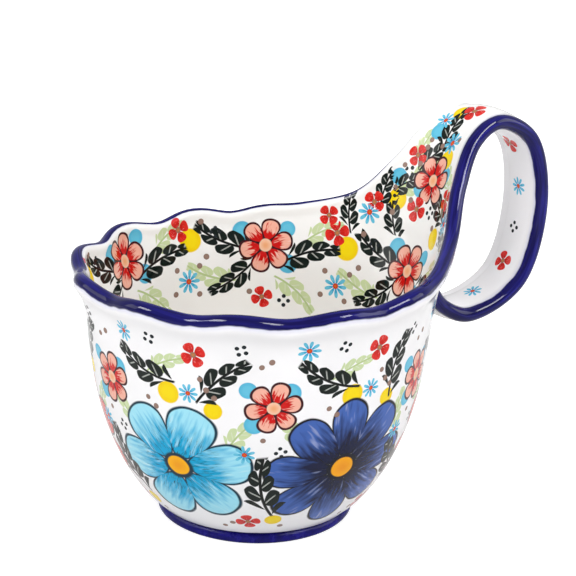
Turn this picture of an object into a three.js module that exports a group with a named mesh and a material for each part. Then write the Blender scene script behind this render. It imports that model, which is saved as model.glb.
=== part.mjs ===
// Soup bowl with a looped strap handle, in glazed stoneware.
// Millimetres, +Z up. The bowl stands on its foot ring and the handle points towards +X.
import * as THREE from 'three';

// Bowl
const RIM_RADIUS = 63; // outside of the rolled rim, between its waves
const BOWL_HEIGHT = 88.2; // table to the top of the rim, away from the handle
const FOOT_RADIUS = 34;
const FOOT_HEIGHT = 3.6;
const FOOT_WIDTH = 5;
const FLOOR_THICKNESS = 6;
const WALL_THICKNESS = 4.4;
const FLOOR_RADIUS = 20; // flat part of the floor inside
const BEND_RADIUS = 38.5; // where the floor curves up into the wall
const BEND_RISE = 8.9; // and above the floor
const LOW_BELLY_RADIUS = 46.4;
const BELLY_RADIUS = 55.1;
const SHOULDER_RADIUS = 58.4;
const NECK_RADIUS = 60.2;
// where those radii lie, as shares of the wall's height
const LOW_BELLY_RATIO = 0.203;
const BELLY_RATIO = 0.518;
const SHOULDER_RATIO = 0.812;
const NECK_RATIO = 0.938;

// Wavy rim
const RIM_LOBES = 12; // in a full turn
const FIRST_LOBE = THREE.MathUtils.degToRad(24);
const LOBE_RISE = 1.05;
const LOBE_SWELL = 1.2;
const LOBE_DEPTH = 24; // how far down the wall the waves fade

// Handle strap
const ROOT_ANGLE = THREE.MathUtils.degToRad(46); // half of the wall that runs up into the strap
const ROOT_LIFT = 5; // rise of the rim where the strap begins
const LIFT_FADE = THREE.MathUtils.degToRad(27.5);
const ROOT_LEAN = 5.5; // how far the wall leans out under the strap
const LEAN_DEPTH = 36;
const CROWN_WIDTH = 18.6; // strap at the top of the loop, between the joint lines of its beads
const STRAP_WIDTH = 13.6; // round the far side and the bottom of the loop
const LANDING_WIDTH = 17; // and where it meets the wall again
const STRAP_THICKNESS = 7.2; // along the middle
const STRAP_EDGE = 5.2; // beside the beads
const CROWN_REACH = 25.5; // top of the loop, out from the rim
const CROWN_RISE = 42; // and above the bowl
const LOOP_REACH = 49.4; // far side of the loop, out from the rim
const LOOP_MIDDLE = 9.2; // and above the bowl
const LOOP_DROP = 29; // bottom of the loop, below the bowl's top
const BOTTOM_REACH = 20; // and out from the rim
const LANDING_DROP = 14.8; // that meeting, below the bowl's top
const LANDING_SPREAD_RATIO = 0.35; // how fast its end thickens towards the hole, per length
const LANDING_LEAD = 0.5; // where that begins, as a share of the last stretch of its path
const LOOP_FULLNESS = 0.738; // how far out the loop swells between those points, 0.71 for an ellipse
const APPROACH_RUN_RATIO = 0.58; // a point of the way from the bottom of the loop to the wall
const APPROACH_RISE_RATIO = 0.33;
const ROOT_BLEND = 0.3; // share of the strap's path over which the wall becomes the strap
const CORNER_LEAD = 1.35; // a rim point before the strap's corner, as a share of the root's angle
// how the strap's middle line climbs from the root to the crown: [run, rise]
const MIDDLE_RISE = [[0.137, 0.237], [0.326, 0.52], [0.587, 0.794]];
// how its joint lines climb: [run, narrowing, rise]
const EDGE_RISE = [[0.35, 0.47, 0.17], [0.565, 0.785, 0.52], [0.76, 0.944, 0.844]];

// Rolled edges
const BEAD_RADIUS = 2.75;
const BEAD_OPENING = THREE.MathUtils.degToRad(55); // half of the arc that the joint cuts off
const JOINT_GAP = 0.3;

// Fineness of the facets
const BOWL_SEGMENTS = 96;
const WALL_STEPS = 14;
const RIM_STEPS = 72;
const STRAP_STEPS = 52;
const STRAP_COLUMNS = 12;
const BEAD_SIDES = 9;

const cobaltGlaze = new THREE.MeshStandardMaterial({ color: '#1c1f73', roughness: 0.15, metalness: 0 });
const whiteGlaze = new THREE.MeshStandardMaterial({ color: '#f1efec', roughness: 0.15, metalness: 0 });

const beadCentre = JOINT_GAP + BEAD_RADIUS * Math.cos(BEAD_OPENING); // from the joint line
const beadHeight = beadCentre + BEAD_RADIUS;
const seatRadius = RIM_RADIUS - BEAD_RADIUS; // middle of the wall's upper edge
const seatHeight = BOWL_HEIGHT - beadHeight;
const up = new THREE.Vector3(0, 0, 1);

const smoothstep = THREE.MathUtils.smoothstep;

// Outside of the plain bowl, from the foot to the seat of the rim bead.
const wallSpan = seatHeight - FOOT_HEIGHT;
const wallPoint = (radius, level) => new THREE.Vector2(radius, FOOT_HEIGHT + level * wallSpan);
const upperWall = [
  wallPoint(BELLY_RADIUS, BELLY_RATIO),
  wallPoint(SHOULDER_RADIUS, SHOULDER_RATIO),
  wallPoint(NECK_RADIUS, NECK_RATIO),
  wallPoint(seatRadius + WALL_THICKNESS / 2, 1),
];
const outerWall = new THREE.SplineCurve([
  wallPoint(FOOT_RADIUS, 0),
  wallPoint(LOW_BELLY_RADIUS, LOW_BELLY_RATIO),
  ...upperWall,
]);
const outerPoints = outerWall.getPoints(WALL_STEPS);

// Inside of the plain bowl, from the middle of the floor to the same seat.
const floorHeight = FOOT_HEIGHT + FLOOR_THICKNESS;
const innerWall = new THREE.SplineCurve([
  new THREE.Vector2(0, floorHeight),
  new THREE.Vector2(FLOOR_RADIUS, floorHeight),
  new THREE.Vector2(BEND_RADIUS, floorHeight + BEND_RISE),
  ...upperWall.map((point) => new THREE.Vector2(point.x - WALL_THICKNESS, point.y)),
]);

const outerRadiusAt = (height) => {
  const above = outerPoints.findIndex((point, i) => i > 0 && (point.y >= height || i === WALL_STEPS));
  const high = outerPoints[above];
  const low = outerPoints[above - 1];
  return THREE.MathUtils.mapLinear(height, low.y, high.y, low.x, high.x);
};

// Share of the strap's lean across its width, with v from -1 to 1 over the root.
const leanShare = (v) => (Math.abs(v) < 1 ? (1 + Math.cos(Math.PI * v)) / 2 : 0);
// Share of the way from the strap's edges to its middle line.
const crossShare = (v) => {
  const arc = seatRadius * (Math.cos(ROOT_ANGLE * v) - Math.cos(ROOT_ANGLE));
  const wholeArc = seatRadius * (1 - Math.cos(ROOT_ANGLE));
  return (arc + ROOT_LEAN * leanShare(v)) / (wholeArc + ROOT_LEAN);
};

// Rise of the rim towards the handle, level under the strap itself.
const rimLift = (angle) => {
  const past = Math.max(0, Math.abs(angle) - ROOT_ANGLE);
  return ROOT_LIFT * Math.exp(-past / LIFT_FADE);
};
const lobe = (angle) => {
  const clear = smoothstep(Math.abs(angle), ROOT_ANGLE, ROOT_ANGLE + (2 * Math.PI) / RIM_LOBES);
  return clear * Math.cos(RIM_LOBES * (angle - FIRST_LOBE));
};

// Moves a point of the plain bowl to its place on the wavy bowl that leans into the strap.
const shapeWall = (point) => {
  const angle = Math.atan2(point.y, point.x);
  const wave = smoothstep(point.z, seatHeight - LOBE_DEPTH, seatHeight) * lobe(angle);
  const lean = smoothstep(point.z, seatHeight - LEAN_DEPTH, seatHeight);
  const radius = Math.hypot(point.x, point.y) + LOBE_SWELL * wave;
  return new THREE.Vector3(
    radius * Math.cos(angle) + lean * ROOT_LEAN * leanShare(angle / ROOT_ANGLE),
    radius * Math.sin(angle),
    point.z + LOBE_RISE * wave + lean * rimLift(angle),
  );
};
const seatPoint = (angle) => shapeWall(new THREE.Vector3(
  seatRadius * Math.cos(angle),
  seatRadius * Math.sin(angle),
  seatHeight,
));

// The wall's outside near the handle, and how far a point lies outside it.
function plainHeight(angle, height) {
  let plain = height;
  for (let i = 0; i < 4; i++) {
    plain = height - smoothstep(plain, seatHeight - LEAN_DEPTH, seatHeight) * rimLift(angle);
  }
  return plain;
}
function wallOutside(angle, height) {
  const plain = plainHeight(angle, height);
  const radius = outerRadiusAt(plain);
  return shapeWall(new THREE.Vector3(radius * Math.cos(angle), radius * Math.sin(angle), plain));
}
function clearOfWall(point) {
  const angle = Math.atan2(point.y, point.x);
  const wall = wallOutside(angle, point.z);
  return Math.hypot(point.x, point.y) - Math.hypot(wall.x, wall.y);
}

// A closed skin over a row of rings. The end rings are closed point to opposite point.
function loft(rings) {
  const size = rings[0].length;
  const index = [];
  for (let row = 0; row + 1 < rings.length; row++) {
    for (let i = 0; i < size; i++) {
      const a = row * size + i;
      const b = row * size + ((i + 1) % size);
      index.push(a, b, a + size, b, b + size, a + size);
    }
  }
  const last = (rings.length - 1) * size;
  for (let i = 0; i + 1 < size / 2; i++) {
    const j = size - 1 - i;
    index.push(i, j, i + 1, j, j - 1, i + 1);
    index.push(last + i, last + i + 1, last + j, last + j, last + i + 1, last + j - 1);
  }
  const geometry = new THREE.BufferGeometry().setFromPoints(rings.flat());
  geometry.setIndex(index);
  geometry.computeVertexNormals();
  return geometry;
}

function bowlGeometry() {
  const profile = [
    new THREE.Vector2(0, FOOT_HEIGHT),
    ...outerPoints,
    ...innerWall.getPoints(WALL_STEPS).reverse(),
  ];
  const geometry = new THREE.LatheGeometry(profile, BOWL_SEGMENTS);
  geometry.rotateX(Math.PI / 2);
  const positions = geometry.attributes.position;
  const point = new THREE.Vector3();
  for (let i = 0; i < positions.count; i++) {
    const { x, y, z } = shapeWall(point.fromBufferAttribute(positions, i));
    positions.setXYZ(i, x, y, z);
  }
  return geometry;
}

function footGeometry() {
  const inside = FOOT_RADIUS - FOOT_WIDTH;
  const profile = [
    new THREE.Vector2(inside, 0),
    new THREE.Vector2(FOOT_RADIUS, 0),
    new THREE.Vector2(FOOT_RADIUS, FOOT_HEIGHT),
    new THREE.Vector2(inside, FOOT_HEIGHT),
    new THREE.Vector2(inside, 0),
  ];
  return new THREE.LatheGeometry(profile, BOWL_SEGMENTS).rotateX(Math.PI / 2);
}

// Middle line of the strap in the XZ plane, from inside the wall over the loop and back to the wall.
const crown = { x: RIM_RADIUS + CROWN_REACH, z: BOWL_HEIGHT + CROWN_RISE };
const far = { x: RIM_RADIUS + LOOP_REACH, z: BOWL_HEIGHT + LOOP_MIDDLE };
const bottom = { x: RIM_RADIUS + BOTTOM_REACH, z: BOWL_HEIGHT - LOOP_DROP };
const landing = wallOutside(0, BOWL_HEIGHT - LANDING_DROP);
const shoulder = {
  x: crown.x + LOOP_FULLNESS * (far.x - crown.x),
  z: far.z + LOOP_FULLNESS * (crown.z - far.z),
};
const heel = {
  x: bottom.x + LOOP_FULLNESS * (far.x - bottom.x),
  z: far.z - LOOP_FULLNESS * (far.z - bottom.z),
};
const approach = {
  x: THREE.MathUtils.lerp(bottom.x, landing.x, APPROACH_RUN_RATIO),
  z: THREE.MathUtils.lerp(bottom.z, landing.z, APPROACH_RISE_RATIO),
};
const loopRun = [crown, shoulder, far, heel, bottom, approach, landing];
const rootMiddle = seatPoint(0);
const rootCorner = seatPoint(ROOT_ANGLE);
const wallBelowRoot = shapeWall(new THREE.Vector3(seatRadius, 0, seatHeight - ROOT_LEAN));
const rimBeforeCorner = seatPoint(ROOT_ANGLE * CORNER_LEAD);
const loopWidths = new Map([[crown, CROWN_WIDTH], [landing, LANDING_WIDTH]]);
const halfWidth = (place) => (loopWidths.get(place) ?? STRAP_WIDTH) / 2;

const middleRise = MIDDLE_RISE.map(([run, rise]) => new THREE.Vector3(
  THREE.MathUtils.lerp(rootMiddle.x, crown.x, run),
  0,
  THREE.MathUtils.lerp(rootMiddle.z, crown.z, rise),
));
const edgeRise = EDGE_RISE.map(([run, narrowing, rise]) => new THREE.Vector3(
  THREE.MathUtils.lerp(rootCorner.x, crown.x, run),
  THREE.MathUtils.lerp(rootCorner.y, halfWidth(crown), narrowing),
  THREE.MathUtils.lerp(rootCorner.z, crown.z, rise),
));
const curveThrough = (points) => new THREE.CatmullRomCurve3(points, false, 'centripetal');
const middleLine = curveThrough([
  wallBelowRoot,
  rootMiddle,
  ...middleRise,
  ...loopRun.map(({ x, z }) => new THREE.Vector3(x, 0, z)),
]);
const edgeLine = curveThrough([
  rimBeforeCorner,
  rootCorner,
  ...edgeRise,
  ...loopRun.map((place) => new THREE.Vector3(place.x, halfWidth(place), place.z)),
]);
const spans = middleLine.points.length - 1;
const strapStart = 1 / spans; // the root is the second point
const strapEnd = 1 - LANDING_LEAD / spans;

// Middle surface of the strap: u runs along it from 0 to 1, v across it from -1 to 1.
function strapPoint(u, v) {
  const t = THREE.MathUtils.lerp(strapStart, strapEnd, u);
  const middle = middleLine.getPoint(t);
  const edge = edgeLine.getPoint(t);
  const inwards = crossShare(v);
  return new THREE.Vector3(
    THREE.MathUtils.lerp(edge.x, middle.x, inwards),
    edge.y * Math.sin(ROOT_ANGLE * v) / Math.sin(ROOT_ANGLE),
    THREE.MathUtils.lerp(edge.z, middle.z, inwards),
  );
}

// Frame on that surface: along the strap, across it, and out of the side that faces the loop's hole.
function strapFrame(u, v) {
  const step = 1e-3;
  const before = strapPoint(u - step, v);
  const along = strapPoint(u + step, v).sub(before).normalize();
  const across = strapPoint(u, v + step).sub(strapPoint(u, v - step)).normalize();
  const out = across.clone().cross(along).normalize();
  const level = new THREE.Vector3(Math.cos(ROOT_ANGLE * v), Math.sin(ROOT_ANGLE * v), 0);
  out.lerp(level, 1 - smoothstep(u, 0, ROOT_BLEND)).normalize();
  return { point: strapPoint(u, v), along, out };
}

// Runs on from a strap point, spreading towards the hole, until it is a joint's gap from the wall.
function landOnWall(point, along, out, share) {
  const heading = along.clone().addScaledVector(out, LANDING_SPREAD_RATIO * Math.max(0, share)).normalize();
  let near = 0;
  let beyond = STRAP_WIDTH;
  for (let i = 0; i < 40; i++) {
    const middle = (near + beyond) / 2;
    const trial = point.clone().addScaledVector(heading, middle);
    if (clearOfWall(trial) > JOINT_GAP) near = middle;
    else beyond = middle;
  }
  return point.clone().addScaledVector(heading, near);
}

function strapGeometry() {
  const columns = Array.from({ length: STRAP_COLUMNS + 1 }, (_, i) => (2 * i) / STRAP_COLUMNS - 1);
  const section = (u, place) => {
    const thicken = smoothstep(u, 0, ROOT_BLEND);
    const edge = THREE.MathUtils.lerp(WALL_THICKNESS, STRAP_EDGE, thicken) / 2;
    const middle = THREE.MathUtils.lerp(WALL_THICKNESS, STRAP_THICKNESS, thicken) / 2;
    const side = (share) => columns.map((v) => {
      const { point, along, out } = strapFrame(u, v);
      const reach = THREE.MathUtils.lerp(middle, edge, v * v);
      return place(point.addScaledVector(out, share * reach), along, out, share);
    });
    return [...side(1), ...side(-1).reverse()];
  };
  const onRoot = (point) => point.addScaledVector(up, JOINT_GAP);
  const free = (point) => point;
  const rings = [section(0, onRoot)];
  for (let i = 1; i <= STRAP_STEPS; i++) rings.push(section(i / STRAP_STEPS, free));
  rings.push(section(1, landOnWall));
  return loft(rings);
}

// Rolled edge: a round section cut flat along the joint, set on a line with its outward directions.
function beadRing(point, edgewards, out) {
  const ring = [];
  const reach = Math.PI - BEAD_OPENING;
  for (let i = 0; i <= BEAD_SIDES; i++) {
    const turn = THREE.MathUtils.lerp(-reach, reach, i / BEAD_SIDES);
    ring.push(point.clone()
      .addScaledVector(edgewards, beadCentre + BEAD_RADIUS * Math.cos(turn))
      .addScaledVector(out, BEAD_RADIUS * Math.sin(turn)));
  }
  return ring;
}

// Frame on the rim's seat, with angles from one corner of the strap round to the other.
function rimFrame(angle) {
  const step = 1e-3;
  const before = seatPoint(Math.max(angle - step, ROOT_ANGLE));
  const along = seatPoint(Math.min(angle + step, 2 * Math.PI - ROOT_ANGLE)).sub(before).normalize();
  const out = new THREE.Vector3(Math.cos(angle), Math.sin(angle), 0);
  return { point: seatPoint(angle), along, out };
}

function rimBeadGeometry() {
  const rings = [];
  for (let i = 0; i <= RIM_STEPS; i++) {
    const angle = THREE.MathUtils.lerp(ROOT_ANGLE, 2 * Math.PI - ROOT_ANGLE, i / RIM_STEPS);
    const { point, along, out } = rimFrame(angle);
    rings.push(beadRing(point, out.clone().cross(along).normalize(), out));
  }
  return loft(rings);
}

// side is 1 for the edge towards +Y and -1 for the edge towards -Y
function handleBeadGeometry(side) {
  const ringOn = ({ point, along, out }) => {
    const edgewards = along.clone().cross(out).multiplyScalar(side).normalize();
    return beadRing(point, edgewards, out);
  };
  const corner = rimFrame(side > 0 ? ROOT_ANGLE : 2 * Math.PI - ROOT_ANGLE);
  corner.along.multiplyScalar(-side);
  corner.point.addScaledVector(corner.along, JOINT_GAP);
  const rings = [ringOn(corner)];
  for (let i = 1; i <= STRAP_STEPS; i++) rings.push(ringOn(strapFrame(i / STRAP_STEPS, side)));
  const { along, out } = strapFrame(1, side);
  rings.push(rings.at(-1).map((point, i) => {
    const share = Math.sin(THREE.MathUtils.lerp(-1, 1, i / BEAD_SIDES) * Math.PI / 2);
    return landOnWall(point, along, out, share);
  }));
  return loft(side > 0 ? rings.reverse() : rings);
}

const bowl = new THREE.Group();
const addPiece = (name, geometry, material) => {
  const piece = new THREE.Mesh(geometry, material);
  piece.name = name;
  bowl.add(piece);
};
addPiece('bowl_body', bowlGeometry(), whiteGlaze);
addPiece('foot_ring', footGeometry(), cobaltGlaze);
addPiece('rim_bead', rimBeadGeometry(), cobaltGlaze);
addPiece('handle_strap', strapGeometry(), whiteGlaze);
addPiece('handle_bead_right', handleBeadGeometry(-1), cobaltGlaze);
addPiece('handle_bead_left', handleBeadGeometry(1), cobaltGlaze);

// The origin is under the middle of the whole outline, on the table.
const middle = new THREE.Box3().setFromObject(bowl).getCenter(new THREE.Vector3());
bowl.position.set(-middle.x, -middle.y, 0);

export default bowl;
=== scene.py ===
import math
from functools import partial

import bmesh
import bpy
import numpy as np
from mathutils import Matrix, Vector


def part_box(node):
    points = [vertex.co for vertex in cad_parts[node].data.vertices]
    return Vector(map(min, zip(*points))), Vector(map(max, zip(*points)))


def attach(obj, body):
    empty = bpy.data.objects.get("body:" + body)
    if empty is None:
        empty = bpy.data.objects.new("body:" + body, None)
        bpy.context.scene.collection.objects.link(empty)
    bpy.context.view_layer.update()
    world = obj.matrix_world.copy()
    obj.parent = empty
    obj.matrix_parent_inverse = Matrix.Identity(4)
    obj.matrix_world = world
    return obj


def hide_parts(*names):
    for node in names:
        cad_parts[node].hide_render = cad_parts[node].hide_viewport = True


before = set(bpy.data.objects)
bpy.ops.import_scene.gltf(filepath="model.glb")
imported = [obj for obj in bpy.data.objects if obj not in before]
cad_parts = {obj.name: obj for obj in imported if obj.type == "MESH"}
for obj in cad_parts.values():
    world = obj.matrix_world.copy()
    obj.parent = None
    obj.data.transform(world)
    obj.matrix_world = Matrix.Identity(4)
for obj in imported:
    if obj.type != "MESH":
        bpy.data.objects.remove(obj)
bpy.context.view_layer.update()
scene = bpy.context.scene
mm = 0.001
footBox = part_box("foot_ring")
axisX = (footBox[0][0] + footBox[1][0]) / 2  # the bowl stands this far from the frame's origin
print("frame loaded")


def linear(hexColour):  # an sRGB hex value as the linear colour that a socket takes
    channels = [int(hexColour[i:i + 2], 16) / 255 for i in (1, 3, 5)]
    return tuple(c / 12.92 if c <= 0.04045 else ((c + 0.055) / 1.055) ** 2.4 for c in channels) + (1.0,)


def add(tree, kind, *values, named=None, **settings):  # one node, with its settings, values and links
    node = tree.nodes.new("ShaderNode" + kind)
    for name, value in settings.items():
        setattr(node, name, value)
    sockets = [socket for socket in node.inputs if socket.enabled]
    pairs = list(zip(sockets, values))
    pairs += [(node.inputs[name], value) for name, value in (named or {}).items()]
    for socket, value in pairs:
        if isinstance(value, bpy.types.NodeSocket):
            tree.links.new(value, socket)
        else:
            socket.default_value = value
    return next(socket for socket in node.outputs if socket.enabled)


def smooth(value, low, high):
    share = np.clip((value - low) / (high - low), 0, 1)
    return share * share * (3 - 2 * share)


def blend(a, b, share):
    return a + (b - a) * share


def unit(vectors):
    return vectors / np.linalg.norm(vectors, axis=-1, keepdims=True)


def folded(turn):  # the same angle, within half a turn of the handle
    return (turn + np.pi) % (2 * np.pi) - np.pi


def curveThrough(points, shares):  # smooth curve through points, without loops between them
    points = np.asarray(points, float)
    padded = np.vstack([2 * points[0] - points[1], points, 2 * points[-1] - points[-2]])
    last = len(points) - 1
    spans = np.clip(np.asarray(shares) * last, 0, last - 1e-9)
    first = spans.astype(int)
    f = (spans - first)[:, None]
    p = [padded[first + k] for k in range(4)]
    d = [np.sqrt(np.linalg.norm(p[k + 1] - p[k], axis=1))[:, None] for k in range(3)]
    start = ((p[1] - p[0]) / d[0] - (p[2] - p[0]) / (d[0] + d[1]) + (p[2] - p[1]) / d[1]) * d[1]
    end = ((p[2] - p[1]) / d[1] - (p[3] - p[1]) / (d[1] + d[2]) + (p[3] - p[2]) / d[2]) * d[1]
    return (p[1] * (2 * f ** 3 - 3 * f ** 2 + 1) + start * (f ** 3 - 2 * f ** 2 + f)
            + p[2] * (3 * f ** 2 - 2 * f ** 3) + end * (f ** 3 - f ** 2))


def evenly(points, count, samples=600):  # the same curve at even steps of its length
    fine = curveThrough(points, np.linspace(0, 1, samples))
    run = np.concatenate([[0], np.cumsum(np.linalg.norm(np.diff(fine, axis=0), axis=1))])
    steps = np.linspace(0, run[-1], count)
    return np.stack([np.interp(steps, run, fine[:, k]) for k in range(fine.shape[1])], axis=1)


# Vessel: one skin of fired clay, so bowl, rolled rim and strap flow into each other.
# Millimetres from the bowl's axis, with turns counted from the handle.
vessel = {
    "seat": (60.25, 83.57),  # middle of the wall where the rolled rim begins
    "outside": [(34, 3.6), (39.6, 9.4), (46.4, 19.8), (51.9, 33), (55.1, 45), (57.1, 58), (58.4, 68.5),
                (60.2, 78.6), (62.45, 83.57)],
    "inside": [(0, 9.6), (20, 9.6), (38.5, 18.5), (50.7, 45), (54.0, 68.5), (56.4, 78.2), (58.05, 83.57)],
    "wall": 2.2, "roll": 2.75, "flush": 2.3,  # half thickness: wall, rolled edge outside, rolled edge inside
    "rollRise": 1.88, "rollBlend": 5.0,  # straight part under the roll, and where it starts to swell
    "lobes": 12, "firstLobe": math.radians(24), "lobeRise": 1.05, "lobeSwell": 1.2, "lobeDepth": 24,
    "root": math.radians(46), "lift": 5.0, "liftFade": math.radians(27.5),  # the rim rises beside the strap
    "liftRounds": 5, "lean": 5.5, "leanDepth": 36,  # the wall leans out under the strap
    "narrow": 2.6, "bandRise": 100, "bandTurn": 6,  # painted band: narrower inside, wider near the strap
    "columns": 160, "rootColumns": 32, "rows": 60, "footRows": 8, "lipRows": 12, "straightRows": 3,
    "weld": 0.04, "edgeReach": 60,
}
strap = {
    "crown": (88.5, 130.2), "far": (112.4, 97.4), "bottom": (83.0, 59.2), "landingHeight": 73.4,
    "crownWidth": 9.3, "width": 6.8, "landingWidth": 8.5,  # half widths
    "fullness": 0.738, "approach": (0.58, 0.33),  # how square the loop is, and its last turn before the wall
    "middleRise": [(0.137, 0.237), (0.326, 0.52), (0.587, 0.794)],  # shares of the way to the crown: out, up
    "edgeRise": [(0.35, 0.47, 0.17), (0.565, 0.785, 0.52), (0.76, 0.944, 0.844)],  # out, narrower, up
    "edgeLead": 1.35, "stopShort": 0.5,  # its edge starts beyond the root, its grid ends before the wall
    "rootBlend": 0.3, "middle": 3.6, "edge": 2.6,  # half thicknesses past the root
    "bandStart": (-0.05, 0.12), "bandCross": (-0.3, 0.3), "bandWiden": (0.5, 0.6),
    "steps": 150, "landingSteps": 14, "fillet": 3.2, "sink": 0.35,
    "reach": 25.0, "halvings": 30, "leastAside": 0.3,  # how the landing finds the wall
}
seatRadius, seatHeight = vessel["seat"]
root = vessel["root"]


def leanShare(v):
    return np.where(np.abs(v) < 1, (1 + np.cos(np.pi * np.clip(v, -1, 1))) / 2, 0)


def crossShare(v):  # 0 on the strap's edges, 1 on its middle line
    arc = seatRadius * (np.cos(root * v) - np.cos(root))
    whole = seatRadius * (1 - np.cos(root))
    return (arc + vessel["lean"] * leanShare(v)) / (whole + vessel["lean"])


def rimLift(turn):
    return vessel["lift"] * np.exp(-np.maximum(0, np.abs(turn) - root) / vessel["liftFade"])


def shapeWall(turn, radius, height):  # plain bowl to wavy bowl that leans and rises into the strap
    turn = folded(turn)
    clear = smooth(np.abs(turn), root, root + 2 * np.pi / vessel["lobes"])
    wave = smooth(height, seatHeight - vessel["lobeDepth"], seatHeight) * clear
    wave = wave * np.cos(vessel["lobes"] * (turn - vessel["firstLobe"]))
    lean = smooth(height, seatHeight - vessel["leanDepth"], seatHeight)
    radius = radius + vessel["lobeSwell"] * wave
    return np.stack([
        radius * np.cos(turn) + lean * vessel["lean"] * leanShare(turn / root),
        radius * np.sin(turn),
        height + vessel["lobeRise"] * wave + lean * rimLift(turn),
    ], axis=-1)


wallLine = evenly(vessel["outside"], vessel["rows"] - vessel["footRows"] + 1)
footRadius, footHeight = vessel["outside"][0]
underside = np.stack([np.linspace(0, footRadius, vessel["footRows"] + 1)[:-1],
                      np.full(vessel["footRows"], footHeight)], axis=1)
outsideLine = np.vstack([underside, wallLine])
insideLine = evenly(vessel["inside"], vessel["rows"] + 1)


def wallAt(turn, height, line=wallLine):  # a point of the finished wall by its height
    turn, height = np.broadcast_arrays(np.asarray(turn, float), np.asarray(height, float))
    lift = rimLift(folded(turn))
    plain = height
    for _ in range(vessel["liftRounds"]):  # each round comes closer to the height before the lift
        plain = height - smooth(plain, seatHeight - vessel["leanDepth"], seatHeight) * lift
    return shapeWall(turn, np.interp(plain, line[:, 1], line[:, 0]), plain)


def rollOf(width, side):  # the edge swells outwards and stays flush inside
    return np.maximum(width, vessel["roll"] if side > 0 else vessel["flush"])


def swelling(width, inset, side):  # half thickness of the clay near its rolled edge
    return blend(width, rollOf(width, side), smooth(inset, -vessel["rollBlend"], vessel["rollRise"]))


def fromCrest(rise, half, scale):  # distance from the top of the rolled edge, as the painted band counts it
    return np.hypot(vessel["rollRise"] + vessel["roll"] - rise, half) * scale


def bandScale(side, u, v):  # where the band is narrow, distances count more: inside the rim, on the far edge
    rim = 1.0 if side > 0 else vessel["narrow"]
    farEdge = vessel["narrow"]
    if side < 0:
        farEdge = blend(farEdge, 1.0, smooth(u, *strap["bandWiden"]))
    edges = blend(1.0, farEdge, smooth(v, *strap["bandCross"]))
    return blend(rim, edges, smooth(u, *strap["bandStart"]))


# lines of the strap, from inside the wall over the loop and back to the wall
landing = wallAt(0.0, strap["landingHeight"])
rootMiddle = shapeWall(np.array(0.0), seatRadius, np.array(seatHeight))
rootCorner = shapeWall(np.array(root), seatRadius, np.array(seatHeight))
crown, far, bottom = (np.array(strap[name]) for name in ("crown", "far", "bottom"))
nearer, higher = strap["approach"]
approach = [blend(bottom[0], landing[0], nearer), blend(bottom[1], landing[2], higher)]
shoulder = [blend(crown[0], far[0], strap["fullness"]), blend(far[1], crown[1], strap["fullness"])]
heel = [blend(bottom[0], far[0], strap["fullness"]), blend(far[1], bottom[1], strap["fullness"])]
loopRun = [crown, shoulder, far, heel, bottom, approach, [landing[0], landing[2]]]
loopWidths = [strap["crownWidth"]] + [strap["width"]] * (len(loopRun) - 2) + [strap["landingWidth"]]
middlePoints = [shapeWall(np.array(0.0), seatRadius, np.array(seatHeight - vessel["lean"])), rootMiddle]
middlePoints += [(blend(rootMiddle[0], crown[0], run), 0, blend(rootMiddle[2], crown[1], rise))
                 for run, rise in strap["middleRise"]]
middlePoints += [(x, 0, z) for x, z in loopRun]
edgePoints = [shapeWall(np.array(root * strap["edgeLead"]), seatRadius, np.array(seatHeight)), rootCorner]
edgePoints += [(blend(rootCorner[0], crown[0], run), blend(rootCorner[1], strap["crownWidth"], narrow),
                blend(rootCorner[2], crown[1], rise)) for run, narrow, rise in strap["edgeRise"]]
edgePoints += [(x, width, z) for (x, z), width in zip(loopRun, loopWidths)]
spans = len(middlePoints) - 1


def strapPoint(u, v):  # u runs along the strap from its root, v across it from -1 to 1
    share = blend(1 / spans, 1 - strap["stopShort"] / spans, u)
    middle = curveThrough(middlePoints, share)
    edge = curveThrough(edgePoints, share)
    inwards = crossShare(v)
    return np.stack([blend(edge[:, 0], middle[:, 0], inwards),
                     edge[:, 1] * np.sin(root * v) / np.sin(root),
                     blend(edge[:, 2], middle[:, 2], inwards)], axis=-1)


def strapFrame(u, v, step=1e-3):  # place, direction along the strap, and out of its side towards the hole
    along = unit(strapPoint(u + step, v) - strapPoint(u - step, v))
    across = unit(strapPoint(u, v + step) - strapPoint(u, v - step))
    level = np.stack([np.cos(root * v), np.sin(root * v), np.zeros_like(v)], axis=-1)
    grown = smooth(u, 0, strap["rootBlend"])[:, None]
    out = unit(blend(unit(np.cross(across, along)), level, 1 - grown))
    return strapPoint(u, v), along, out


def strapInset(u, v):  # how far inside the nearer edge, as a negative rise
    return -np.linalg.norm(strapPoint(u, v) - strapPoint(u, np.where(v < 0, -1.0, 1.0)), axis=-1)


def strapHalf(u, v, side):  # half thickness: a lens that thins to its rolled edges
    grown = smooth(u, 0, strap["rootBlend"])
    edge = blend(vessel["wall"], strap["edge"], grown)
    middle = blend(vessel["wall"], strap["middle"], grown)
    return swelling(blend(middle, edge, v * v), strapInset(u, v), side)


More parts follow.
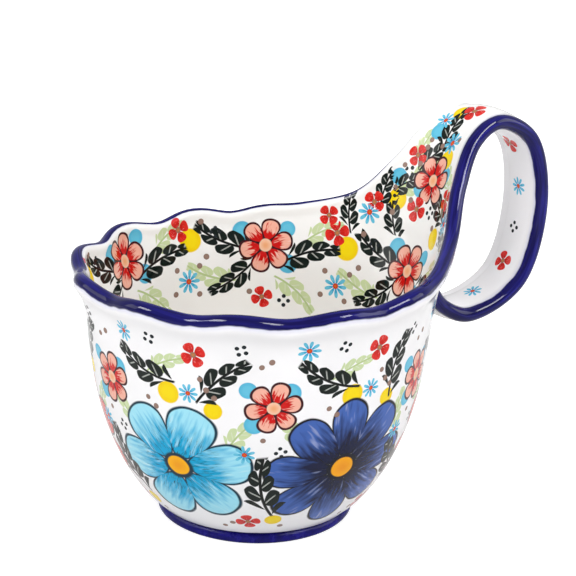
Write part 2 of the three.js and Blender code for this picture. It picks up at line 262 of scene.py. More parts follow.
def land(spots, along, outward, share):  # carries the strap's end to the wall with a fillet
    def clearance(points):
        wall = wallAt(np.arctan2(points[:, 1], points[:, 0]), points[:, 2])
        return np.hypot(points[:, 0], points[:, 1]) - np.hypot(wall[:, 0], wall[:, 1])
    near = np.zeros(len(spots))
    beyond = np.full(len(spots), strap["reach"])
    for _ in range(strap["halvings"]):
        middle = (near + beyond) / 2
        outside = clearance(spots + along * middle[:, None]) > -strap["sink"]
        near = np.where(outside, middle, near)
        beyond = np.where(outside, beyond, middle)
    normal = unit(spots * (1, 1, 0))
    steep = np.abs(np.sum(along * normal, axis=1))
    radius = np.minimum(strap["fillet"], near * steep)
    left = near * steep * (1 - share)
    flare = radius - np.sqrt(np.maximum(0, radius ** 2 - np.maximum(0, radius - left) ** 2))
    aside = outward - normal * np.sum(outward * normal, axis=1)[:, None]
    aside = aside / np.maximum(np.linalg.norm(aside, axis=1), strap["leastAside"])[:, None]
    landed = spots + along * (near * share)[:, None] + aside * flare[:, None]
    return np.where(share[:, None] > 0, landed, spots)


strapRows = strap["steps"] + strap["landingSteps"]


def strapShares(row):  # share of the strap's length, then share of the last stretch to the wall
    along = np.minimum(row / strap["steps"], 1)
    return along, np.clip((row - strap["steps"]) / strap["landingSteps"], 0, 1)


def wallPatch(side, across, along):
    split = 0.5 - vessel["rootColumns"] / vessel["columns"] / 2
    turn = np.interp(across, [0, split, 1 - split, 1], [-np.pi, -root, root, np.pi])
    line = outsideLine if side > 0 else insideLine
    row = np.rint(along * vessel["rows"]).astype(int)
    radius, height = line[row, 0], line[row, 1]
    inset = -np.hypot(seatHeight - height, np.maximum(0, root - np.abs(turn)) * seatRadius)
    half = swelling(vessel["wall"], inset, side)
    radius = radius + side * (half - vessel["wall"])
    scale = bandScale(side, np.minimum(0, (height - seatHeight) / vessel["bandRise"]), turn / root)
    return shapeWall(turn, radius, height), fromCrest(inset, half, scale)


def strapPatch(side, across, along):
    u, share = strapShares(along * strapRows)
    v = across * 2 - 1
    spots, forward, out = strapFrame(u, v)
    half = strapHalf(u, v, side)
    away = fromCrest(strapInset(u, v), half, bandScale(side, u, v))
    return land(spots + side * half[:, None] * out, forward, side * out, share), away


# the seam line that the rolled edge stands on: up one side of the strap, round the rim, up the other side
rimTurns = np.linspace(root, 2 * np.pi - root, vessel["columns"] - vessel["rootColumns"] + 1)
rimSpots = shapeWall(rimTurns, seatRadius, np.full_like(rimTurns, seatHeight))
rimOut = np.stack([np.cos(rimTurns), np.sin(rimTurns), np.zeros_like(rimTurns)], axis=-1)
seamU, seamShare = strapShares(np.arange(strapRows + 1, dtype=float))
left = strapFrame(seamU, np.ones_like(seamU))
right = strapFrame(seamU, -np.ones_like(seamU))
seam = np.vstack([left[0][::-1], rimSpots[1:-1], right[0]])
seamOut = np.vstack([left[2][::-1], rimOut[1:-1], right[2]])
seamForward = np.vstack([left[1][::-1], rimOut[1:-1], right[1]])
seamLand = np.concatenate([seamShare[::-1], np.zeros(len(rimSpots) - 2), seamShare])
fromStrap = np.minimum(rimTurns - root, 2 * np.pi - root - rimTurns)[1:-1]
seamLead = np.concatenate([seamU[::-1], -fromStrap / vessel["bandTurn"], seamU])  # below 0 before the strap
seamSide = np.where(np.arange(len(seam)) < len(seam) / 2, 1.0, -1.0)
seamHalf = {side: np.concatenate([strapHalf(seamU, np.ones_like(seamU), side)[::-1],
                                  np.full(len(rimSpots) - 2, swelling(vessel["wall"], 0, side)),
                                  strapHalf(seamU, -np.ones_like(seamU), side)]) for side in (1, -1)}
ends = strap["landingSteps"]  # the last rows keep the direction that the edge has before the landing
seamAlong = unit(np.gradient(seam[ends:len(seam) - ends], axis=0))
seamAlong = seamAlong[np.clip(np.arange(len(seam)), ends, len(seam) - 1 - ends) - ends]
seamEdge = unit(np.cross(seamOut, seamAlong))


def lipPatch(side, across, along):
    spot = np.rint(across * (len(seam) - 1)).astype(int)
    row = along * vessel["lipRows"]
    beside = vessel["straightRows"]  # rows beside the seam, then round the roll to its crest
    straight = np.clip(row / beside, 0, 1)
    angle = np.clip((row - beside) / (vessel["lipRows"] - beside), 0, 1) * np.pi / 2
    rise = vessel["rollRise"] * straight + vessel["roll"] * np.sin(angle)
    wide = seamHalf[side][spot]
    wide = blend(wide, rollOf(wide, side), smooth(straight, -1, 1) * 2 - 1) * np.cos(angle)
    base = seam[spot] + seamEdge[spot] * rise[:, None] + side * seamOut[spot] * wide[:, None]
    outward = seamEdge[spot] * np.sin(angle)[:, None] + side * seamOut[spot] * np.cos(angle)[:, None]
    away = fromCrest(rise, wide, bandScale(side, seamLead[spot], seamSide[spot]))
    return land(base, seamForward[spot], outward, seamLand[spot]), away


def patch(mesh, columns, rows, place, edgeLayer, side):  # a grid moved to where place says
    made = bmesh.ops.create_grid(mesh, x_segments=columns, y_segments=rows, size=0.5)["verts"]
    shares = np.array([vertex.co[:2] for vertex in made], float) + 0.5
    for vertex, spot, away in zip(made, *place(side, shares[:, 0], shares[:, 1])):
        vertex.co = spot
        vertex[edgeLayer] = side * min(away, vessel["edgeReach"])  # mm from the crest, negative inside


def finishMesh(mesh, name):
    for face in mesh.faces:
        face.smooth = True
    bmesh.ops.translate(mesh, verts=mesh.verts, vec=(axisX / mm, 0, 0))
    bmesh.ops.scale(mesh, verts=mesh.verts, vec=(mm, mm, mm))
    data = bpy.data.meshes.new(name)
    mesh.to_mesh(data)
    mesh.free()
    made = bpy.data.objects.new(name, data)
    scene.collection.objects.link(made)
    return made


def makeVessel():
    mesh = bmesh.new()
    edgeLayer = mesh.verts.layers.float.new("edge")
    for side in (1, -1):
        patch(mesh, vessel["columns"], vessel["rows"], wallPatch, edgeLayer, side)
        patch(mesh, vessel["rootColumns"], strapRows, strapPatch, edgeLayer, side)
        patch(mesh, len(seam) - 1, vessel["lipRows"], lipPatch, edgeLayer, side)
    bmesh.ops.remove_doubles(mesh, verts=mesh.verts, dist=vessel["weld"])
    openEdges = [edge for edge in mesh.edges if edge.is_boundary]
    print("open edges before the landing is closed:", len(openEdges))
    bmesh.ops.holes_fill(mesh, edges=openEdges, sides=0)
    bmesh.ops.triangulate(mesh, faces=[face for face in mesh.faces if len(face.verts) > 4])
    bmesh.ops.recalc_face_normals(mesh, faces=mesh.faces)
    print("open edges after:", sum(edge.is_boundary for edge in mesh.edges), "faces:", len(mesh.faces))
    return finishMesh(mesh, "Vessel")


vesselPiece = makeVessel()
print("vessel built")


# Foot ring, dipped in cobalt, with a bare rim where it stands
foot = {"radius": 34.0, "height": 3.6, "width": 5.0, "round": 0.9, "roundSteps": 5, "columns": 160,
        "weld": 0.001, "standing": -0.9}


def makeFoot():
    mesh = bmesh.new()
    low, high = foot["radius"] - foot["width"], foot["radius"]
    corners = [(low, foot["height"]), (low, 0), (high, 0), (high, foot["height"])]
    ring = [mesh.verts.new((radius, 0, height)) for radius, height in corners]
    for k in range(len(ring)):
        mesh.edges.new((ring[k], ring[(k + 1) % len(ring)]))
    bmesh.ops.bevel(mesh, geom=ring[1:3], offset=foot["round"], affect="VERTICES",
                    segments=foot["roundSteps"], profile=0.5, material=-1)
    bmesh.ops.spin(mesh, geom=mesh.verts[:] + mesh.edges[:], cent=(0, 0, 0), axis=(0, 0, 1),
                   angle=2 * math.pi, steps=foot["columns"], use_merge=True)
    bmesh.ops.remove_doubles(mesh, verts=mesh.verts, dist=foot["weld"])
    bmesh.ops.recalc_face_normals(mesh, faces=mesh.faces)
    for face in mesh.faces:
        face.material_index = int(face.normal.z < foot["standing"])
    return finishMesh(mesh, "FootRing")


footPiece = makeFoot()
print("foot built")


# Painted flowers in the glaze. Each motif is a stamp: the mesh corners under it carry its coordinates.
tints = {  # towards the tips, towards the heart, the heart
    "navy": ("#4062ae", "#0a1238", "#f8a800"), "turquoise": ("#9fe0f2", "#06a4d4", "#fcb400"),
    "coral": ("#f0b09c", "#cc0c08", "#f3c3a4"), "poppy": ("#e5564a", "#b30f0a", "#f2b00c"),
    "red": ("#d8231a", "#c4170f", "#8a6a58"), "sky": ("#63bfdc", "#3aa5cf", "#c9201a"),
    "leaf": ("#0a1712", "#050c09", "#050c09"), "pale": ("#c9d8a6", "#b3c78c", "#b3c78c"),
    "yellow": ("#f5d800", "#ecc000", "#ecc000"), "brown": ("#93776a", "#7b6156", "#7b6156"),
    "ink": ("#20272b", "#12171a", "#12171a"),
}
layersOfPaint = ("pale", "disc", "bloom", "leaf", "flower", "dot")  # the first coat lies lowest
stampParts = {"At": "VECTOR", "Look": "VECTOR", "Light": "COLOR", "Deep": "COLOR", "Heart": "COLOR"}
motifs = {  # layer, petals or leaflets, fullness, tint
    "blossom": ("flower", 6, 1.05, "coral"), "clover": ("flower", 4, 0.8, "red"),
    "daisy": ("flower", 9, 0.75, "sky"), "cluster": ("dot", 4, 1, "ink"), "speck": ("dot", 1, 1, "brown"),
    "sprig": ("leaf", 1.9, 1, "leaf"), "spray": ("leaf", 1.8, 1, "leaf"), "twig": ("leaf", 1.7, 1, "leaf"),
    "paleSpray": ("pale", 1.8, 1, "pale"), "paleTwig": ("pale", 1.7, 1, "pale"),
    "pool": ("disc", 1, 1, "sky"), "sun": ("disc", 1, 1, "yellow"),
}
wallBlooms = [("navy", 8, 1.12, 27), ("turquoise", 6, 1.08, 25), ("poppy", 7, 1.1, 25)]  # and half size
repeats = {"sectors": 6, "wallStart": -88, "bandStart": 118, "bloomHeight": 33, "bloomSpin": 9, "spin": 7}

# one sixth of the outside: motif, degrees, height, half size, spin
wallPanel = [
    ("sprig", 30, 27, 14, 8), ("spray", 10, 66, 12, 62), ("spray", 44, 67, 12, -48),
    ("paleSpray", 20, 49, 9, 40), ("paleSpray", 38, 48, 9, -38), ("paleSpray", 2, 70, 8, -70),
    ("pool", 22, 63, 3.9, 0), ("pool", 33, 52, 3.6, 0), ("pool", 35, 64, 3.2, 0), ("sun", 1, 60, 4.3, 0),
    ("sun", 46, 56, 3.4, 0), ("sun", 24, 13, 3.2, 0), ("blossom", 27, 58, 9.6, 12),
    ("clover", 52, 75, 4.4, 30), ("daisy", 17, 77.5, 3.8, 0), ("clover", 35, 12, 4.2, 10),
    ("daisy", 54, 61, 3.4, 0), ("daisy", 36, 41, 3.6, 20), ("cluster", 6, 77, 2.4, 20),
    ("cluster", 37, 77, 2.4, 60), ("cluster", 24, 42, 2.3, 10), ("speck", 48, 63, 1.1, 0),
    ("speck", 50, 66.5, 1.0, 0), ("speck", 45.5, 60.5, 1.1, 0), ("speck", 6, 54, 1.1, 0),
    ("speck", 9, 56.5, 1.0, 0), ("speck", 28, 74, 1.1, 0), ("speck", 31, 72, 1.0, 0),
    ("speck", 20, 9.5, 1.1, 0), ("speck", 42, 11, 1.1, 0), ("speck", 46, 9, 1.0, 0),
    ("speck", 30, 46.5, 1.0, 0),
]
# one sixth of the band inside: the same columns
bandPanel = [
    ("blossom", 0, 77, 10.6, 15), ("pool", -9, 83, 4.2, 0), ("pool", 9, 71, 4.0, 0),
    ("pool", 8, 83.5, 3.4, 0), ("twig", -16.5, 79, 12.4, 66), ("twig", 17, 76, 12.4, -72),
    ("twig", -12, 65, 11, 125), ("paleTwig", 21, 84, 9, -60), ("paleTwig", -22, 66, 10, 70),
    ("paleTwig", 13, 61, 10, -130), ("sun", 31, 79, 5.0, 0), ("daisy", 29, 65, 4.6, 0),
    ("clover", 26.5, 84, 4.8, 20), ("speck", 36, 85, 1.25, 0), ("speck", 37, 73, 1.25, 0),
    ("speck", 34, 70, 1.2, 0), ("speck", 24, 70, 1.2, 0), ("cluster", 41, 82, 2.4, 0),
    ("cluster", 8, 57, 2.6, 0), ("speck", 23, 61, 1.2, 0), ("speck", -6, 60, 1.2, 0),
    ("speck", 33.5, 60, 1.2, 0), ("clover", -1, 58, 4.2, 20),
]
# up the strap's top: motif, share of its length, share of its half width, half size, spin
strapStamps = [
    ("blossom", 0.19, -0.05, 9.8, 10), ("sprig", 0.13, -0.42, 12, 34), ("sprig", 0.25, 0.3, 11, -26),
    ("pool", 0.16, 0.2, 3.9, 0), ("pool", 0.215, -0.5, 3.6, 0), ("sun", 0.255, -0.35, 4.2, 0),
    ("clover", 0.095, 0.12, 4.8, 0), ("daisy", 0.3, -0.3, 4.4, 0), ("sprig", 0.335, 0.15, 11, 8),
    ("clover", 0.4, -0.2, 4.6, 0), ("speck", 0.06, -0.25, 1.25, 0), ("speck", 0.07, 0.4, 1.25, 0),
    ("speck", 0.285, 0.1, 1.2, 0), ("speck", 0.31, -0.6, 1.1, 0), ("sun", 0.12, 0.5, 4.4, 0),
    ("paleSpray", 0.15, 0.48, 9, -40), ("spray", 0.17, 0.55, 9, -30), ("cluster", 0.1, -0.15, 2.6, 0),
    ("speck", 0.12, 0.28, 1.2, 0), ("paleSpray", 0.22, -0.65, 8, 20), ("sun", 0.385, 0.3, 3.6, 0),
    ("daisy", 0.06, 0.62, 4.6, 0), ("clover", 0.105, 0.78, 4.4, 20), ("sprig", 0.05, 0.34, 10, 56),
    ("cluster", 0.2, 0.66, 2.6, 0), ("clover", 0.245, 0.74, 4.2, 0), ("pool", 0.315, 0.6, 3.6, 0),
    ("cluster", 0.05, -0.52, 2.6, 0), ("spray", 0.07, -0.72, 9, 20), ("daisy", 0.12, -0.78, 4.2, 0),
    ("sun", 0.03, -0.3, 4.4, 0), ("paleSpray", 0.2, 0.34, 9, -20), ("clover", 0.17, -0.74, 4.2, 10),
    ("spray", 0.15, 0.88, 9, 30), ("cluster", 0.14, 0.68, 2.4, 0), ("speck", 0.155, 0.7, 1.2, 0),
    ("speck", 0.225, 0.52, 1.2, 0), ("speck", 0.27, 0.6, 1.2, 0), ("speck", 0.215, 0.9, 1.1, 0),
    ("paleSpray", 0.28, 0.78, 8, 10), ("pool", 0.185, 0.8, 3.6, 0), ("spray", 0.07, 0.9, 9, 70),
    ("speck", 0.29, 0.62, 1.1, 0), ("daisy", 0.35, 0.7, 3.6, 0), ("clover", 0.025, 0.86, 4.0, 30),
    ("daisy", 0.47, 0.1, 4.0, 0), ("clover", 0.6, 0, 4.0, 0), ("daisy", 0.74, 0, 4.0, 0),
    ("sprig", 0.535, 0, 6.5, 6), ("speck", 0.565, 0.35, 1.1, 0), ("speck", 0.635, -0.35, 1.1, 0),
    ("sprig", 0.675, 0, 6.5, -6), ("cluster", 0.79, 0, 2.4, 0), ("clover", 0.84, 0, 3.8, 20),
]
# on the face towards the loop's hole: the same columns
ringStamps = [
    ("sprig", 0.36, 0.0, 7, 4), ("daisy", 0.45, -0.1, 3.8, 0), ("clover", 0.53, 0.1, 4.0, 10),
    ("daisy", 0.61, 0, 3.6, 0), ("cluster", 0.67, 0, 2.4, 0), ("clover", 0.72, 0, 4.0, 20),
    ("daisy", 0.8, 0, 3.6, 0),
]


def stampRow(where, motif, across, along, size, spin):
    layer, petals, fullness, tint = motifs[motif]
    return where, layer, across, along, size, spin, petals, fullness, tint


def stampRows():
    rows = []
    sectors = range(repeats["sectors"])
    step = 360 / repeats["sectors"]
    for sector in sectors:
        start = repeats["wallStart"] - step * sector
        tint, petals, fullness, bloomSize = wallBlooms[sector % len(wallBlooms)]
        rows.append(("outside", "bloom", start, repeats["bloomHeight"], bloomSize,
                     repeats["bloomSpin"] * sector, petals, fullness, tint))
        for motif, turn, height, size, spin in wallPanel:
            if motif not in ("pool", "sun", "speck"):  # round spots look the same at any spin
                spin += repeats["spin"] * sector
            rows.append(stampRow("outside", motif, start - turn, height, size, spin))
    for sector in sectors:
        start = repeats["bandStart"] - step * sector
        rows += [stampRow("inside", motif, start - turn, *rest) for motif, turn, *rest in bandPanel]
    rows += [stampRow("top", *row) for row in strapStamps]
    rows += [stampRow("ring", *row) for row in ringStamps]
    return rows


def stampPlace(where, across, along):  # centre of a stamp, and which way is up for it
    if where in ("outside", "inside"):
        line = wallLine if where == "outside" else insideLine
        return wallAt(math.radians(across), along, line), np.array((0, 0, 1.0))
    u, v = np.array([across]), np.array([along])
    spot, forward, out = strapFrame(u, v)
    side = 1 if where == "ring" else -1
    return spot[0] + side * strapHalf(u, v, side)[0] * out[0], forward[0]


def valuesOf(items, name, width=1, kind=float):  # one property of all vertices, corners or faces
    values = np.empty(len(items) * width, kind)
    items.foreach_get(name, values)
    return values.reshape(-1, width) if width > 1 else values


stamping = {"elsewhere": (9.0, 9.0, 4.0), "margin": 1.5, "cover": 1.3, "facing": 0.3, "seedStep": 0.37}


def paintStamps(piece):
    data = piece.data
    spots = valuesOf(data.vertices, "co", 3) / mm - (axisX / mm, 0, 0)
    normals = valuesOf(data.vertices, "normal", 3)
    corner = valuesOf(data.loops, "vertex_index", kind=int)
    faceOrder = np.argsort(valuesOf(data.polygons, "loop_start", kind=int))
    faceOf = np.repeat(faceOrder, valuesOf(data.polygons, "loop_total", kind=int)[faceOrder])
    centres = np.stack([np.bincount(faceOf, spots[corner, k]) for k in range(3)], axis=1)
    centres = centres / np.bincount(faceOf)[:, None]
    facing = unit(np.stack([np.bincount(faceOf, normals[corner, k]) for k in range(3)], axis=1))
    count = len(corner)
    painted = {}
    for layer in layersOfPaint:
        painted[layer] = {"At": np.tile(stamping["elsewhere"], (count, 1)), "Look": np.zeros((count, 3))}
        painted[layer].update({part: np.ones((count, 4)) for part in ("Light", "Deep", "Heart")})
    nearness = {layer: np.full(len(centres), stamping["cover"]) for layer in layersOfPaint}
    rows = stampRows()
    for number, (where, layer, across, along, size, spin, petals, fullness, tint) in enumerate(rows):
        centre, upward = stampPlace(where, across, along)
        normal = normals[np.argmin(np.sum((spots - centre) ** 2, axis=1))]
        upward = unit(upward - normal * (upward @ normal))
        sideways = np.cross(upward, normal)
        c, s = math.cos(math.radians(spin)), math.sin(math.radians(spin))
        axes = np.stack([sideways * c + upward * s, upward * c - sideways * s], axis=1)
        away = np.linalg.norm(centres - centre, axis=1) / (size + stamping["margin"])
        near = (away < nearness[layer]) & (facing @ normal > stamping["facing"])
        nearness[layer][near] = away[near]
        under = near[faceOf]
        values = painted[layer]
        values["At"][under, :2] = (spots[corner[under]] - centre) @ axes / size
        values["At"][under, 2] = petals
        values["Look"][under] = (fullness, size, number * stamping["seedStep"] % 1)
        for part, colour in zip(("Light", "Deep", "Heart"), tints[tint]):
            values[part][under] = linear(colour)
    for layer, values in painted.items():
        for part, kind in stampParts.items():
            made = data.attributes.new(layer + part, "FLOAT_" + kind, "CORNER")
            made.data.foreach_set(kind.lower(), values[part].ravel())
    print("stamps:", len(rows))


paintStamps(vesselPiece)

# the painter's hand wavers: its size in millimetres, its depth in shares of a motif
wobbleLook = {"size": 16.67, "detail": 2.0, "depth": (0.1, 0.1, 0.0)}


def motifGroup(name, draw):  # a node group that turns a stamp's coordinates into a colour and a mask
    tree = bpy.data.node_groups.new(name, "ShaderNodeTree")
    sockets = [("INPUT", part, kind.title()) for part, kind in stampParts.items()]
    sockets += [("OUTPUT", "Colour", "Color"), ("OUTPUT", "Mask", "Float")]
    for way, socket, kind in sockets:
        tree.interface.new_socket(socket, in_out=way, socket_type="NodeSocket" + kind)
    node = partial(add, tree)
    given = tree.nodes.new("NodeGroupInput").outputs
    place = node("TexCoord").node.outputs["Object"]
    wobble = node("TexNoise", place, 1 / (wobbleLook["size"] * mm), wobbleLook["detail"])
    shaken = node("VectorMath", wobble.node.outputs["Color"], (0.5, 0.5, 0.5), operation="SUBTRACT")
    shaken = node("VectorMath", shaken, wobbleLook["depth"], given["At"], operation="MULTIPLY_ADD")
    colour, mask = draw(tree, shaken, given)
    result = tree.nodes.new("NodeGroupOutput")
    tree.links.new(colour, result.inputs["Colour"])
    tree.links.new(mask, result.inputs["Mask"])
    return tree


def roundHeart(tree, at, count):  # radius, petal number, petal angle, and place along and across the petal
    node = partial(add, tree)
    parts = node("SeparateXYZ", at).node.outputs
    flat = node("VectorMath", at, (1, 1, 0), operation="MULTIPLY")
    radius = node("VectorMath", flat, operation="LENGTH").node.outputs["Value"]
    turn = node("Math", parts["Y"], parts["X"], operation="ARCTAN2")
    turn = node("Math", turn, count, operation="MULTIPLY")
    cell = node("Math", turn, 1 / (2 * math.pi), 0.5, operation="MULTIPLY_ADD")
    wedge = node("Math", 2 * math.pi, count, operation="DIVIDE")
    inCell = node("Math", node("Math", cell, operation="FRACT"), 0.5, operation="SUBTRACT")
    angle = node("Math", inCell, wedge, operation="MULTIPLY")
    along = node("Math", radius, node("Math", angle, operation="COSINE"), operation="MULTIPLY")
    across = node("Math", radius, node("Math", angle, operation="SINE"), operation="MULTIPLY")
    return radius, cell, wedge, along, across


def squares(tree, a, b):  # the sum of two squares
    a = add(tree, "Math", a, a, operation="MULTIPLY")
    b = add(tree, "Math", b, b, operation="MULTIPLY")
    return add(tree, "Math", a, b, operation="ADD")


bloomLook = {  # in shares of a motif's half size, which is in millimetres
    "petalMiddle": 0.55, "petalLength": 0.42, "taper": (0.5, 0.24), "petalEdge": (1.04, 0.96),
    "line": 3.0, "lineEnd": 0.93, "lineSoft": 0.06, "lineSizes": (6.0, 8.0), "lineColour": "#0b0d16",
    "lineShare": 0.93, "softSizes": (10.0, 20.0),  # large petals shade softly and carry veins
    "strokes": (9.0, 1.7), "seedSpread": 50.0, "petalSpread": 7.3,  # brush strokes run along each petal
    "strokeNoise": (5.0, 1.6, 3.0, 0.6), "veinNoise": (5.0, 1.6, 1.0),  # scale, detail, roughness, spread
    "fade": (1.25, -0.25), "strokeFade": (1.3, -0.65), "fadeStart": (0.34, 0.18), "fadeEnd": (0.5, 0.72),
    "wash": (0.6, 0.8), "washShare": 0.35, "washColour": "#f9f9fc",
    "veinStretch": (2.2, 0.8, 1.7), "veins": (0.56, 0.62), "veinEnd": (0.32, 0.7),
    "heartSizes": (10.0, 24.0), "heart": (0.225, 0.15), "heartEdge": (1.06, 0.96),
    "ringOuter": (1.06, 1.5), "ringInner": (0.96, 1.3),
    "goldEdge": (0.9, 0.2), "goldShare": 0.5, "gold": "#e88400",
}


def drawBloom(tree, at, given):  # round petals with a dark outline, brush streaks and a yellow heart
    node = partial(add, tree)
    look = bloomLook
    petals = node("SeparateXYZ", given["At"]).node.outputs["Z"]
    fullness, size, seed = node("SeparateXYZ", given["Look"]).node.outputs
    radius, cell, wedge, along, across = roundHeart(tree, at, petals)
    soft = node("MapRange", size, *look["softSizes"])

    # the petal's shape and its outline, which keeps its width on small flowers
    half = node("Math", node("Math", wedge, 0.5, operation="MULTIPLY"), operation="TANGENT")
    half = node("Math", half, fullness, operation="MULTIPLY")
    taper = node("Math", along, *look["taper"], operation="MULTIPLY_ADD")
    half = node("Math", half, taper, operation="MULTIPLY")
    lengthwise = node("Math", along, look["petalMiddle"], operation="SUBTRACT")
    lengthwise = node("Math", lengthwise, look["petalLength"], operation="DIVIDE")
    reach = squares(tree, lengthwise, node("Math", across, half, operation="DIVIDE"))
    petal = node("MapRange", reach, *look["petalEdge"])
    lineWidth = node("Math", look["line"], size, operation="DIVIDE")
    lineStart = node("Math", look["lineEnd"], lineWidth, operation="SUBTRACT")
    lineFull = node("Math", lineStart, look["lineSoft"], operation="ADD")
    outline = node("MapRange", reach, lineStart, lineFull)
    lined = node("MapRange", size, *look["lineSizes"])
    outline = node("Math", outline, lined, operation="MULTIPLY")

    # brush strokes from the dark heart to the light tips
    number = node("Math", cell, operation="FLOOR")
    number = node("Math", number, look["petalSpread"],
                  node("Math", seed, look["seedSpread"], operation="MULTIPLY"), operation="MULTIPLY_ADD")
    brush = [node("Math", value, scale, operation="MULTIPLY")
             for value, scale in zip((across, along), look["strokes"])]
    brush = node("CombineXYZ", *brush, number)
    streak = node("TexNoise", brush, *look["strokeNoise"])
    fade = node("Math", node("Math", along, *look["fade"], operation="MULTIPLY_ADD"),
                node("Math", streak, *look["strokeFade"], operation="MULTIPLY_ADD"), operation="ADD")
    fade = node("MapRange", fade, node("MapRange", soft, 0.0, 1.0, *look["fadeStart"]),
                node("MapRange", soft, 0.0, 1.0, *look["fadeEnd"]))
    paint = node("Mix", fade, given["Deep"], given["Light"], data_type="RGBA")
    wash = node("MapRange", streak, *look["wash"], 0.0, look["washShare"])
    paint = node("Mix", wash, paint, linear(look["washColour"]), data_type="RGBA")

    # dark lines, then the heart in its ring
    dark = node("Mix", look["lineShare"], given["Deep"], linear(look["lineColour"]), data_type="RGBA")
    veins = node("VectorMath", brush, look["veinStretch"], operation="MULTIPLY")
    veins = node("MapRange", node("TexNoise", veins, *look["veinNoise"]), *look["veins"])
    veins = node("Math", veins, node("MapRange", along, *look["veinEnd"], 1.0, 0.0), operation="MULTIPLY")
    veins = node("Math", veins, soft, operation="MULTIPLY")
    lines = node("Math", outline, veins, operation="MAXIMUM")
    paint = node("Mix", lines, paint, dark, data_type="RGBA")
    heartSize = node("MapRange", size, *look["heartSizes"], *look["heart"])
    middle = node("Math", radius, heartSize, operation="DIVIDE")
    heart = node("MapRange", middle, *look["heartEdge"])
    golden = node("MapRange", middle, *look["goldEdge"], 0.0, look["goldShare"])
    gold = node("Mix", golden, given["Heart"], linear(look["gold"]), data_type="RGBA")
    ring = node("MapRange", middle, node("MapRange", soft, 0.0, 1.0, *look["ringOuter"]),
                node("MapRange", soft, 0.0, 1.0, *look["ringInner"]))
    paint = node("Mix", ring, paint, dark, data_type="RGBA")
    paint = node("Mix", heart, paint, gold, data_type="RGBA")
    return paint, node("Math", petal, ring, operation="MAXIMUM")


sprigLook = {  # in shares of a motif's half size
    "bow": 0.16, "slant": -0.85, "stagger": 0.4, "foot": -0.72, "ends": (1.0, 0.95), "stem": (0.045, 0.03),
    "leafletSpan": (-0.75, 1.0), "leaflet": (0.56, 0.16), "plump": 1.75, "pointed": 0.75,
    "leafEdge": (0.02, 0.07), "vein": (0.055, 0.03), "veinShare": 0.5, "veinEnd": (0.75, 0.6),
    "veinColour": "#e1e4dd",
}


def drawSprig(tree, at, given):  # a bowed stem with pairs of slanting leaflets, each with a pale vein
    node = partial(add, tree)
    look = sprigLook
    x, y, _ = node("SeparateXYZ", at).node.outputs
    count = node("SeparateXYZ", given["At"]).node.outputs["Z"]
    bow = node("Math", node("Math", y, y, operation="MULTIPLY"), look["bow"], operation="MULTIPLY")
    aside = node("Math", x, bow, operation="SUBTRACT")
    out = node("Math", aside, operation="ABSOLUTE")
    slant = node("Math", out, look["slant"], y, operation="MULTIPLY_ADD")
    slant = node("Math", slant, count, operation="MULTIPLY")
    rightSide = node("Math", aside, 0.0, operation="GREATER_THAN")
    stagger = node("Math", rightSide, look["stagger"], operation="MULTIPLY")
    slant = node("Math", slant, stagger, operation="ADD")
    middle = node("Math", node("Math", slant, operation="FRACT"), 0.5, operation="SUBTRACT")
    middle = node("Math", middle, operation="ABSOLUTE")
    longest = node("MapRange", y, *look["leafletSpan"], *look["leaflet"])
    share = node("Math", out, longest, operation="DIVIDE")
    leaf = node("Math", share, node("Math", 1.0, share, operation="SUBTRACT"), operation="MULTIPLY")
    leaf = node("Math", leaf, look["plump"], operation="MULTIPLY")
    leaf = node("Math", node("Math", leaf, 0.0, operation="MAXIMUM"), look["pointed"], operation="POWER")
    room = node("Math", leaf, middle, operation="SUBTRACT")
    mask = node("MapRange", room, *look["leafEdge"])
    ends = node("MapRange", node("Math", y, operation="ABSOLUTE"), *look["ends"])
    lowest = node("Math", look["foot"], count, operation="MULTIPLY")
    mask = node("Math", mask, ends, operation="MULTIPLY")
    mask = node("Math", mask, node("Math", slant, lowest, operation="GREATER_THAN"), operation="MULTIPLY")
    stem = node("Math", node("MapRange", out, *look["stem"]), ends, operation="MULTIPLY")
    vein = node("Math", node("MapRange", middle, *look["vein"], 0.0, look["veinShare"]),
                node("MapRange", share, *look["veinEnd"]), operation="MULTIPLY")
    paint = node("Mix", vein, given["Light"], linear(look["veinColour"]), data_type="RGBA")
    paint = node("Mix", stem, paint, given["Deep"], data_type="RGBA")
    return paint, node("Math", mask, stem, operation="MAXIMUM")


dotLook = {
    "single": 1.5,  # a count below this is one disc
    "ring": 0.66, "disc": 0.9, "dot": 0.3, "edge": (1.03, 0.94), "pool": (0.5, 1.0), "poolShare": 0.6,
}


def drawDots(tree, at, given):  # one disc, or a ring of small dots
    node = partial(add, tree)
    look = dotLook
    count = node("SeparateXYZ", given["At"]).node.outputs["Z"]
    radius, _, _, along, across = roundHeart(tree, at, count)
    several = node("Math", count, look["single"], operation="GREATER_THAN")
    ring = node("Math", several, look["ring"], operation="MULTIPLY")
    fromDot = node("Math", along, ring, operation="SUBTRACT")
    away = node("Math", squares(tree, fromDot, across), operation="SQRT")
    away = node("Mix", several, radius, away, data_type="FLOAT")
    bound = node("Mix", several, look["disc"], look["dot"], data_type="FLOAT")
    away = node("Math", away, bound, operation="DIVIDE")
    mask = node("MapRange", away, *look["edge"])
    pool = node("MapRange", away, *look["pool"], 0.0, look["poolShare"])
    return node("Mix", pool, given["Light"], given["Deep"], data_type="RGBA"), mask


groups = {"bloom": motifGroup("Blossom", drawBloom), "leaf": motifGroup("Sprig", drawSprig),
          "dot": motifGroup("Dots", drawDots)}
groups.update(flower=groups["bloom"], pale=groups["leaf"], disc=groups["dot"])


def newMaterial(name):
    material = bpy.data.materials.new(name)
    material.use_nodes = True
    return material, material.node_tree, material.node_tree.nodes["Principled BSDF"]


